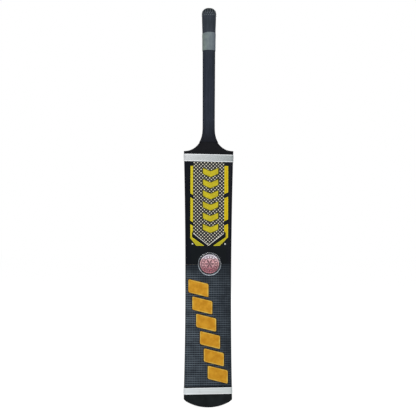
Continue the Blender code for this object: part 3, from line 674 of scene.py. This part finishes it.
weave = {
    "pitchX": 0.0052,  # the threads lie as far apart as the photograph shows them
    "pitchZ": 0.0049,
    "waver": 0.0016,  # how far the threads stray sideways
    "bend": 0.040,  # and over what length
    "thread": "#565f67",
    "cross": "#333c45",
    "gap": "#11161c",
    "rightShare": 0.38,  # how strongly the threads show at the right edge, beside the left one
    "edge": "#14181b",
    "edgeWidth": 0.0016,
    "footShade": 0.0030,  # height of the dark line above the toe tape
    "topFade": 0.045,  # the threads are dimmer this far down from the join
    "topShare": 0.20,
    "faintest": 0.48,  # the threads show in patches, between these strengths
    "strongest": 1.1,
    "patch": (0.0238, 0.0167),
    "relief": 0.00022,
}


def glossFilm():
    # calendered PVC film, stuck down by hand: glossy black, with a slow ripple from the wood under it
    look, tree, shader = newMaterial("glossPvcFilm")
    sideways = addNode(tree, "Math", axes(tree, "X")[0], operation="ABSOLUTE")
    outer = addNode(tree, "MapRange", sideways, film["marginFrom"], film["marginTo"])
    toned = addNode(tree, "Mix", outer, film["black"], film["margin"], data_type="RGBA")
    haze = addNode(tree, "TexNoise", place(tree, film["hazeSize"]), 1.0, 4)
    hazeShare = addNode(tree, "MapRange", haze, 0.45, 0.8, 0.0, 0.35)
    hazed = addNode(tree, "Mix", hazeShare, toned, film["haze"], data_type="RGBA")
    ripple = addNode(tree, "TexNoise", place(tree, *film["ripple"]), 1.0, 2)
    grit = addNode(tree, "TexNoise", place(tree, film["grit"]), 1.0, 2)
    height = addNode(tree, "Math", grit, 0.03, ripple, operation="MULTIPLY_ADD")
    finishMaterial(tree, shader, hazed, height, film["relief"], roughness=0.22, specular=0.05)
    return look


def stretchedFilm():
    # the same film, pulled tight over the shoulders, with fine creases that run down the flare
    look, tree, shader = newMaterial("stretchedPvcFilm")
    creases = addNode(tree, "TexNoise", place(tree, *film["wrapCrease"]), 1.0, 3)
    haze = addNode(tree, "TexNoise", place(tree, film["wrapHazeSize"]), 1.0, 4)
    hazeShare = addNode(tree, "MapRange", haze, 0.45, 0.8, 0.0, 0.5)
    colour = addNode(tree, "Mix", hazeShare, film["wrap"], film["wrapHaze"], data_type="RGBA")
    finishMaterial(tree, shader, colour, creases, film["relief"], roughness=0.5, specular=0.05)
    return look


def wovenFilm():
    # glass-fibre mesh laminated under clear film: pale weft threads across, dimmer warp threads along it
    look, tree, shader = newMaterial("wovenMeshFilm")
    x, z = axes(tree, "XZ")
    low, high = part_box("lower_sheet")
    stray = addNode(tree, "TexNoise", place(tree, weave["bend"]), 1.0, 2)
    waver = addNode(tree, "Math", stray, weave["waver"], operation="MULTIPLY")
    strayedX = addNode(tree, "Math", x, waver, operation="ADD")
    strayedZ = addNode(tree, "Math", z, waver, operation="ADD")
    across = addNode(tree, "Math", strayedX, weave["pitchX"], operation="DIVIDE")
    along = addNode(tree, "Math", strayedZ, weave["pitchZ"], operation="DIVIDE")
    warp = addNode(tree, "Math", waves(tree, across, math.pi), operation="ABSOLUTE")
    weft = addNode(tree, "Math", waves(tree, along, math.pi), operation="ABSOLUTE")
    strength = addNode(tree, "TexNoise", place(tree, *weave["patch"]), 1.0, 4)
    sides = addNode(tree, "MapRange", x, low.x, high.x, 1.0, weave["rightShare"])
    top = addNode(tree, "MapRange", z, high.z - weave["topFade"], high.z, 1.0, weave["topShare"])
    clear = addNode(tree, "Math", sides, top, operation="MULTIPLY")
    patches = addNode(tree, "MapRange", strength, 0.36, 0.62, weave["faintest"], weave["strongest"])
    shown = addNode(tree, "Math", clear, patches, operation="MULTIPLY")
    warpFace = addNode(tree, "MapRange", warp, 0.55, 0.95)
    weftFace = addNode(tree, "MapRange", weft, 0.45, 0.95)
    warpShown = addNode(tree, "Math", shown, warpFace, operation="MULTIPLY")
    weftShown = addNode(tree, "Math", shown, weftFace, operation="MULTIPLY")
    threads = addNode(tree, "Mix", warpShown, weave["gap"], weave["cross"], data_type="RGBA")
    laid = addNode(tree, "Mix", weftShown, threads, weave["thread"], data_type="RGBA")
    sideways = addNode(tree, "Math", x, operation="ABSOLUTE")
    reach = addNode(tree, "Math", high.x, sideways, operation="SUBTRACT")
    within = addNode(tree, "MapRange", reach, weave["edgeWidth"], weave["edgeWidth"] * 2.2)
    edged = addNode(tree, "Mix", within, weave["edge"], laid, data_type="RGBA")
    tapeLow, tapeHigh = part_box("toe_tape")
    lean = math.tan(tape["toeTilt"])
    tapeTop = tapeHigh.z - lean * (tapeHigh.x - tapeLow.x) / 2
    level = addNode(tree, "Math", x, -lean, z, operation="MULTIPLY_ADD")
    rise = addNode(tree, "Math", level, tapeTop, operation="SUBTRACT")
    above = addNode(tree, "MapRange", rise, weave["footShade"], weave["footShade"] * 1.4)
    colour = addNode(tree, "Mix", above, weave["edge"], edged, data_type="RGBA")
    height = addNode(tree, "Math", weft, warp, operation="MAXIMUM")
    finishMaterial(tree, shader, colour, height, weave["relief"], roughness=0.45, specular=0.05)
    return look


def trimFlaps(piece):
    # lets the cut edges of the flaps on the back wander a little, as cut by hand
    middle = sum(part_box("blade"), Vector()) / 2
    inner = min(abs(point.co.x) for point in piece.data.vertices if point.co.y > middle.y)
    for point in piece.data.vertices:
        if point.co.y > middle.y and abs(point.co.x) < inner + film["flapFade"]:
            side = math.copysign(1.0, point.co.x)
            height = point.co.z * 1000
            # three waves along the cut, of about 57, 20 and 8 mm
            wander = math.sin(height * 0.11 + side) + 0.6 * math.sin(height * 0.31)
            wander += 0.4 * math.sin(height * 0.83)
            fade = 1 - (abs(point.co.x) - inner) / film["flapFade"]
            point.co.x += side * film["flapWander"] * wander * fade


def closeJoin(piece):
    # brings the sheet's upper edge up to the other sheet, so no wood shows between them
    edge = max(point.co.z for point in piece.data.vertices) - film["joinSlope"]
    for point in piece.data.vertices:
        if point.co.z > edge:
            point.co.z += film["joinShift"] * min(1.0, (point.co.z - edge) / film["joinSlope"])


shoulderWrap = smoothCopy("shoulderWrap", "shoulder_wrap", 2)
dress(shoulderWrap, [stretchedFilm()], "shoulder_film", "shoulder_wrap")
upperSheet = smoothCopy("upperSheet", "upper_sheet", 3)
trimFlaps(upperSheet)
dress(upperSheet, [glossFilm()], "black_film", "upper_sheet")
lowerSheet = smoothCopy("lowerSheet", "lower_sheet", 3)
trimFlaps(lowerSheet)
closeJoin(lowerSheet)
dress(lowerSheet, [wovenFilm()], "woven_film", "lower_sheet")
toeCover = smoothCopy("toeCover", "toe_cover", 2, sharp=30)
toeLook = moulded("dippedToeRubber", film["toe"], film["toePale"],
                  grain=0.0009, depth=0.00004, roughness=0.5, specular=0.05)
dress(toeCover, [toeLook], "toe_rubber", "toe_cover")
print("coverings ready")


# Tape bands

def filamentTape(name, nodeName, tilt, left, right):
    # cloth tape: threads along the band under a soft plastic face, and cut edges that catch the light
    look, tree, shader = newMaterial(name)
    x, z = axes(tree, "XZ")
    low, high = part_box(nodeName)
    lean = math.tan(tilt)
    halfHeight = (high.z - low.z - abs(lean) * (high.x - low.x)) / 2
    level = addNode(tree, "Math", x, -lean, z, operation="MULTIPLY_ADD")
    across = addNode(tree, "Math", level, (low.z + high.z) / 2, operation="SUBTRACT")
    away = addNode(tree, "Math", across, operation="ABSOLUTE")
    fromMiddle = addNode(tree, "Math", away, halfHeight, operation="DIVIDE")
    tone = addNode(tree, "Mix", addNode(tree, "MapRange", x, low.x, high.x), left, right, data_type="RGBA")
    threads = addNode(tree, "TexNoise", place(tree, *tape["thread"]), 1.0, 2)
    dirt = addNode(tree, "TexNoise", place(tree, tape["dirtSize"]), 1.0, 4)
    streakShare = addNode(tree, "MapRange", threads, 0.4, 0.75, 0.0, 0.35)
    streaked = addNode(tree, "Mix", streakShare, tone, tape["streak"], data_type="RGBA")
    dirtShare = addNode(tree, "MapRange", dirt, 0.5, 0.8, 0.0, 0.3)
    soiled = addNode(tree, "Mix", dirtShare, streaked, tape["dirt"], data_type="RGBA")
    rimFrom, rimTo = 1 - tape["edgeShare"] * 1.6, 1 - tape["edgeShare"] * 0.6
    rim = addNode(tree, "MapRange", fromMiddle, rimFrom, rimTo, 0.0, 0.8)
    colour = addNode(tree, "Mix", rim, soiled, tape["edge"], data_type="RGBA")
    finishMaterial(tree, shader, colour, threads, tape["relief"], roughness=0.5, specular=0.3)
    return look


def makeLap(name, piece, look):
    # the band's end, a second layer on the back, cut off straight
    openPiece(piece)
    pick(piece, "faces", lambda face: face.normal.y > 0.5 and face.calc_center_median().y > 0
         and tape["lapFrom"] < face.calc_center_median().x < tape["lapTo"])
    bpy.ops.mesh.duplicate()
    bpy.ops.mesh.separate(type="SELECTED")
    closePiece()
    lap = next(item for item in bpy.context.selected_objects if item != piece)
    lap.name = name
    openPiece(lap)
    bpy.ops.mesh.select_all(action="SELECT")
    bpy.ops.transform.shrink_fatten(value=tape["lapLift"])
    closePiece()
    applyModifier(lap, "SOLIDIFY", thickness=tape["lapWall"], offset=-1)
    dress(lap, [look], "white_tape")


for name, nodeName, tilt, left, right in (
        ("topTape", "top_tape", tape["topTilt"], tape["topLeft"], tape["topRight"]),
        ("toeTape", "toe_tape", tape["toeTilt"], tape["toeLeft"], tape["toeRight"])):
    bandPiece = smoothCopy(name, nodeName, 3)
    bandLook = filamentTape(name + "Cloth", nodeName, tilt, left, right)
    makeLap(name + "End", bandPiece, bandLook)
    dress(bandPiece, [bandLook], "white_tape", nodeName)
print("tape bands ready")


# Decals on the striking face

decal = {
    "seat": 0.00022,  # the underside comes down to the film by this much
    "rim": 0.00006,  # softening of the cut edge
    "panelLine": 0.0011,
    "pointBelow": 0.06,  # the panel's point starts lower than this under its middle
    "stripArea": 0.000022,  # strips of the printed line are larger than this, and those of the rim smaller
    "white": "#e6e1cb",
    "whiteShade": "#c9c9d0",
    "black": "#0b0b0e",
    "checkX": 0.0038,  # the photograph's are about 3.1 mm, and these a little coarser so that they show
    "checkZ": 0.0037,
    "checkInk": 0.65,  # how far the black spread into the white squares
    "checkDust": "#3b3b40",
    "yellow": "#c2b322",
    "yellowPale": "#cac12a",
    "orange": "#bf9c06",
    "chevron": "#bcae22",
    "chevronDeep": "#ac9e21",
    "foot": "#a09a22",  # the bars' feet are a little deeper
    "footFrom": 0.360,
    "footTo": 0.384,
    "coreHalf": 0.0012,
    "barLine": 0.0007,
    "chevronLine": 0.0015,
    "chevronCorner": 0.0026,  # an inset wider than a corner's radius would cross itself there
    "olive": "#5b5a12",
    "oliveDeep": "#45440f",
    "gold": "#c79128",
    "goldDeep": "#b47c1c",
    "goldPale": "#d2b455",
    "goldOutline": "#2a1a0c",
    "goldOutlineDeep": "#120d0a",
    "slantCorner": 0.0040,
    "slantLine": 0.0010,
    "slantPale": 0.0018,
    "dot": "#e6e6e6",
    "dotShade": "#cfcfcf",
    "dotCorner": 0.0006,
    "ripple": 0.01667,
    "cloud": 0.01176,
    "inkPatch": 0.00833,  # where dust stuck in the ink
    "relief": 0.0001,
}


def finishVinyl(tree, shader, colour, roughness=0.32, specular=0.06):
    # a soft gloss over a slow ripple
    ripple = addNode(tree, "TexNoise", place(tree, decal["ripple"]), 1.0, 2)
    finishMaterial(tree, shader, colour, ripple, decal["relief"], roughness, specular)


def printedVinyl(name, colour, deeper):
    # cut PVC decal with a printed face: even colour with a slight cloud
    look, tree, shader = newMaterial(name)
    cloud = addNode(tree, "TexNoise", place(tree, decal["cloud"]), 1.0, 4)
    finishVinyl(tree, shader, addNode(tree, "ValToRGB", cloud, stops=((0.38, deeper), (0.62, colour))))
    return look


def coredVinyl(name, core, middle):
    # the same, with a line printed along the bar, and a deeper foot
    look, tree, shader = newMaterial(name)
    x, z = axes(tree, "XZ")
    sideways = addNode(tree, "Math", x, middle, operation="SUBTRACT")
    away = addNode(tree, "Math", sideways, operation="ABSOLUTE")
    cloud = addNode(tree, "TexNoise", place(tree, decal["cloud"]), 1.0, 4)
    cloudShare = addNode(tree, "MapRange", cloud, 0.4, 0.7, 0.0, 0.4)
    base = addNode(tree, "Mix", cloudShare, decal["yellow"], decal["orange"], data_type="RGBA")
    offLine = addNode(tree, "MapRange", away, decal["coreHalf"] * 0.7, decal["coreHalf"] * 1.6)
    lined = addNode(tree, "Mix", offLine, core, base, data_type="RGBA")
    aboveFoot = addNode(tree, "MapRange", z, decal["footFrom"], decal["footTo"])
    toned = addNode(tree, "Mix", aboveFoot, decal["foot"], lined, data_type="RGBA")
    finishVinyl(tree, shader, toned)
    return look


def checkedVinyl():
    # screen-printed squares, black on white, with a little of the black spread into the white
    look, tree, shader = newMaterial("checkedVinyl")
    low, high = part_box("checked_panel")
    x, z = axes(tree, "XZ")
    fromLeft = addNode(tree, "Math", x, low.x, operation="SUBTRACT")
    fromTop = addNode(tree, "Math", high.z, z, operation="SUBTRACT")
    sideways = addNode(tree, "Math", fromLeft, decal["checkX"], operation="DIVIDE")
    down = addNode(tree, "Math", fromTop, decal["checkZ"], operation="DIVIDE")
    columns = waves(tree, sideways, math.pi)
    rows = waves(tree, down, math.pi)
    fromColumn = addNode(tree, "Math", columns, operation="ABSOLUTE")
    fromRow = addNode(tree, "Math", rows, operation="ABSOLUTE")
    fromEdge = addNode(tree, "Math", fromColumn, fromRow, operation="MINIMUM")
    inside = addNode(tree, "MapRange", fromEdge, decal["checkInk"] - 0.05, decal["checkInk"] + 0.05)
    together = addNode(tree, "Math", columns, rows, operation="MULTIPLY")
    turnAbout = addNode(tree, "MapRange", together, -0.001, 0.001)
    white = addNode(tree, "Math", inside, turnAbout, operation="MULTIPLY")
    squares = addNode(tree, "Mix", white, decal["black"], decal["white"], data_type="RGBA")
    ink = addNode(tree, "TexNoise", place(tree, decal["inkPatch"]), 1.0, 4)
    dustShare = addNode(tree, "MapRange", ink, 0.45, 0.8, 0.0, 0.2)
    colour = addNode(tree, "Mix", dustShare, squares, decal["checkDust"], data_type="RGBA")
    finishVinyl(tree, shader, colour, roughness=0.35, specular=0.2)
    return look


def makeDecal(name, nodeName, looks, lines, corner):
    # one cut decal: corners rounded, cut edge softened, and a printed line inside it for each width
    piece = copyNode(name, nodeName)
    for look in looks:
        piece.data.materials.append(look)
    openPiece(piece)
    bpy.ops.mesh.select_all(action="SELECT")
    bpy.ops.mesh.dissolve_limited(angle_limit=math.radians(1))
    if corner:
        pick(piece, "edges", lambda edge: abs((edge.verts[0].co - edge.verts[1].co).normalized().y) > 0.99)
        bpy.ops.mesh.bevel(offset=corner, segments=5, affect="EDGES")
    pick(piece, "faces", lambda face: face.normal.y > 0.9)
    bpy.ops.transform.translate(value=(0, decal["seat"], 0))
    pick(piece, "faces", lambda face: face.normal.y < -0.9)
    bpy.ops.mesh.inset(thickness=decal["rim"], depth=0)
    bpy.ops.transform.translate(value=(0, -decal["rim"] / 2, 0))
    for number, width in enumerate(lines, 1):
        bpy.ops.mesh.inset(thickness=width, depth=0)
        piece.active_material_index = number
        bpy.ops.object.material_slot_assign()
    pick(piece, "faces", lambda face: len(face.verts) > 4)
    bpy.ops.mesh.quads_convert_to_tris(ngon_method="BEAUTY")
    closePiece()
    return piece


def finishDecal(piece, slot, nodeName):
    dress(piece, None, slot, nodeName, smoothUnder=20)


def makePanel():
    whiteLine = printedVinyl("whitePrintLine", decal["white"], decal["whiteShade"])
    checks = checkedVinyl()
    piece = makeDecal("checkedPanel", "checked_panel", [checks, checks], [decal["panelLine"]], 0)
    # the printed line shows along the two slanting edges of the point only
    piece.data.materials.append(whiteLine)
    middle = sum(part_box("checked_panel"), Vector()) / 2
    for face in piece.data.polygons:
        corners = [piece.data.vertices[index].co for index in face.vertices]
        wide = max(corner.x for corner in corners) - min(corner.x for corner in corners)
        tall = max(corner.z for corner in corners) - min(corner.z for corner in corners)
        slanting = min(wide, tall) > decal["panelLine"] * 3
        inPoint = face.center.z < middle.z - decal["pointBelow"]
        inLine = face.material_index == 0 and face.normal.y < -0.9 and face.area > decal["stripArea"]
        if inLine and inPoint and slanting:
            face.material_index = 2
    finishDecal(piece, "checked_print", "checked_panel")


def makeBars():
    for side, core in (("left", decal["yellow"]), ("right", decal["orange"])):
        low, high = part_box(side + "_bar_1")
        middle = (low.x + high.x) / 2
        inner = coredVinyl(side + "BarVinyl", core, middle)
        rim = printedVinyl(side + "BarEdgeVinyl", decal["yellowPale"], decal["yellow"])
        for number in (1, 2, 3):
            nodeName = f"{side}_bar_{number}"
            piece = makeDecal(f"{side}Bar{number}", nodeName, [rim, inner], [decal["barLine"]], 0)
            finishDecal(piece, "yellow_vinyl", nodeName)


def makeRepeated(stem, nodeStem, count, looks, lines, slot, corner):
    # the first of a row is modelled, and the others are copies where their nodes are
    first = makeDecal(stem + "1", nodeStem + "1", looks, lines, corner)
    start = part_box(nodeStem + "1")[0]
    pieces = [first]
    for number in range(2, count + 1):
        pieces.append(copyPiece(first, f"{stem}{number}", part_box(f"{nodeStem}{number}")[0] - start))
    for number, piece in enumerate(pieces, 1):
        finishDecal(piece, slot, f"{nodeStem}{number}")


makePanel()
makeBars()
oliveLine = printedVinyl("olivePrintLine", decal["olive"], decal["oliveDeep"])
yellowFace = printedVinyl("yellowVinyl", decal["chevron"], decal["chevronDeep"])
makeRepeated("panelChevron", "panel_chevron_", 6, [oliveLine, yellowFace], [decal["chevronLine"]],
             "yellow_vinyl", decal["chevronCorner"])
darkLine = printedVinyl("darkPrintLine", decal["goldOutline"], decal["goldOutlineDeep"])
paleLine = printedVinyl("paleGoldPrintLine", decal["goldPale"], decal["gold"])
goldFace = printedVinyl("goldenVinyl", decal["gold"], decal["goldDeep"])
makeRepeated("slantedBar", "slanted_bar_", 6, [darkLine, paleLine, goldFace],
             [decal["slantLine"], decal["slantPale"]], "golden_vinyl", decal["slantCorner"])
dotLook = printedVinyl("whiteVinyl", decal["dot"], decal["dotShade"])
for side in ("left", "right"):
    dot = makeDecal(side + "Dot", side + "_dot", [dotLook], [], decal["dotCorner"])
    finishDecal(dot, "white_vinyl", side + "_dot")
print("decals ready")


# Domed badge

badge = {
    "ringOuter": 0.0253,  # radii of the foil ring printed at the edge
    "ringInner": 0.0243,
    "foil": "#c3cbd0",
    "shineFrom": -0.022,  # painted reflection: the foil is brightest at its foot, and less from here up
    "shineTo": 0.004,
    "shineLeft": 0.22,
    "pink": "#cc8e8c",
    "rose": "#98303f",
    # pale: the painted highlight at the top of the print, and the mottle
    "pale": "#e4dde0",
    "ink": "#4f1f29",
    "inkShare": 0.88,
    "petals": 6,
    "beads": 16,
    "rosette": 0.0102,
    "beadRow": 0.0147,
    "beadHalf": 0.0012,
    "innerLine": 0.0121,
    "outerLine": 0.0176,
    "line": 0.0006,
    "printHalf": 0.020,  # from the print's middle to its top
    "grit": 0.0025,
    "mottle": 0.002,
    "swirl": 0.0143,
    "relief": 0.00002,
    "resin": "#fbfcff",
    "resinShade": "#f1f4fa",
    "resinIndex": 1.34,  # under epoxy's usual 1.5, because the photographed dome mirrors little
    "resinRelief": 0.00004,
}


def fromCentre(tree, nodeName):
    # how far to the side of a disc's centre, how far above it, and the radius there
    x, z = axes(tree, "XZ")
    centre = sum(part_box(nodeName), Vector()) / 2
    across = addNode(tree, "Math", x, centre.x, operation="SUBTRACT")
    up = addNode(tree, "Math", z, centre.z, operation="SUBTRACT")
    return across, up, distance(tree, across, up)


def ringed(tree, radius, at, halfWidth):
    # 1 on a printed ring, 0 off it, with a soft edge
    beyond = addNode(tree, "Math", radius, at, operation="SUBTRACT")
    away = addNode(tree, "Math", beyond, operation="ABSOLUTE")
    return addNode(tree, "MapRange", away, halfWidth, halfWidth * 1.6, 1.0, 0.0)


def badgeFilm():
    # black film with a foil ring stamped near its edge, and a painted reflection on the ring, brightest at
    # its foot
    look, tree, shader = newMaterial("foilStampedFilm")
    up, radius = fromCentre(tree, "badge_base")[1:]
    half = (badge["ringOuter"] - badge["ringInner"]) / 2
    foil = ringed(tree, radius, badge["ringOuter"] - half, half * 0.8)
    # painted reflection on the ring, fading from its foot upwards
    shine = addNode(tree, "MapRange", up, badge["shineFrom"], badge["shineTo"], 1.0, badge["shineLeft"])
    foilShare = addNode(tree, "Math", foil, shine, operation="MULTIPLY")
    colour = addNode(tree, "Mix", foilShare, film["black"], badge["foil"], data_type="RGBA")
    grit = addNode(tree, "TexNoise", place(tree, badge["grit"]), 1.0, 2)
    finishMaterial(tree, shader, colour, grit, badge["relief"], roughness=0.3, specular=0.15)
    return look


def badgePrint():
    # a generic rosette inside a row of beads and a ring, printed in rose on pink, with a painted highlight
    # that pales it at the top
    look, tree, shader = newMaterial("printedBadgePaper")
    across, up, radius = fromCentre(tree, "badge_print")
    angle = addNode(tree, "Math", up, across, operation="ARCTAN2")
    petal = addNode(tree, "Math", waves(tree, angle, badge["petals"] / 2, "COSINE"), operation="ABSOLUTE")
    reach = addNode(tree, "Math", petal, badge["rosette"], operation="MULTIPLY")
    within = addNode(tree, "Math", reach, radius, operation="SUBTRACT")
    rosette = addNode(tree, "MapRange", within, -0.0003, 0.0003)
    beadWave = waves(tree, angle, badge["beads"], "COSINE")
    beadRing = ringed(tree, radius, badge["beadRow"], badge["beadHalf"])
    beadShape = addNode(tree, "MapRange", beadWave, -0.1, 0.3)
    beads = addNode(tree, "Math", beadRing, beadShape, operation="MULTIPLY")
    outerLine = ringed(tree, radius, badge["outerLine"], badge["line"])
    innerLine = ringed(tree, radius, badge["innerLine"], badge["line"])
    lines = addNode(tree, "Math", outerLine, innerLine, operation="MAXIMUM")
    figures = addNode(tree, "Math", beads, rosette, operation="MAXIMUM")
    inked = addNode(tree, "Math", lines, figures, operation="MAXIMUM")
    # painted highlight: the print pales towards its top
    level = addNode(tree, "MapRange", up, -badge["printHalf"], badge["printHalf"])
    base = addNode(tree, "ValToRGB", level, stops=(
        (0.2, badge["rose"]), (0.5, badge["pink"]), (0.74, badge["pink"]), (0.83, badge["pale"])))
    mottle = addNode(tree, "TexNoise", place(tree, badge["mottle"]), 1.0, 3)
    mottleShare = addNode(tree, "MapRange", mottle, 0.4, 0.75, 0.0, 0.35)
    paper = addNode(tree, "Mix", mottleShare, base, badge["pale"], data_type="RGBA")
    inkShare = addNode(tree, "Math", inked, badge["inkShare"], operation="MULTIPLY")
    colour = addNode(tree, "Mix", inkShare, paper, badge["ink"], data_type="RGBA")
    finishMaterial(tree, shader, colour, mottle, badge["relief"], roughness=0.5, specular=0.2)
    return look


def clearResin():
    # poured epoxy, set into a clear glossy dome by its own surface tension
    look, tree, shader = newMaterial("pouredEpoxy")
    swirl = addNode(tree, "TexNoise", place(tree, badge["swirl"]), 1.0, 2)
    tint = addNode(tree, "Mix", swirl, badge["resin"], badge["resinShade"], data_type="RGBA")
    finishMaterial(tree, shader, tint, swirl, badge["resinRelief"], roughness=0.04, specular=0.2)
    shader.inputs["IOR"].default_value = badge["resinIndex"]
    shader.inputs["Transmission Weight"].default_value = 1.0
    return look


badgeBase = smoothCopy("badgeBase", "badge_base", 2)
dress(badgeBase, [badgeFilm()], "black_film", "badge_base")
badgePrintDisc = smoothCopy("badgePrint", "badge_print", 2)
dress(badgePrintDisc, [badgePrint()], "badge_print", "badge_print")
badgeDome = smoothCopy("badgeDome", "badge_dome", 2)
dress(badgeDome, [clearResin()], "clear_resin", "badge_dome")
print("badge ready")
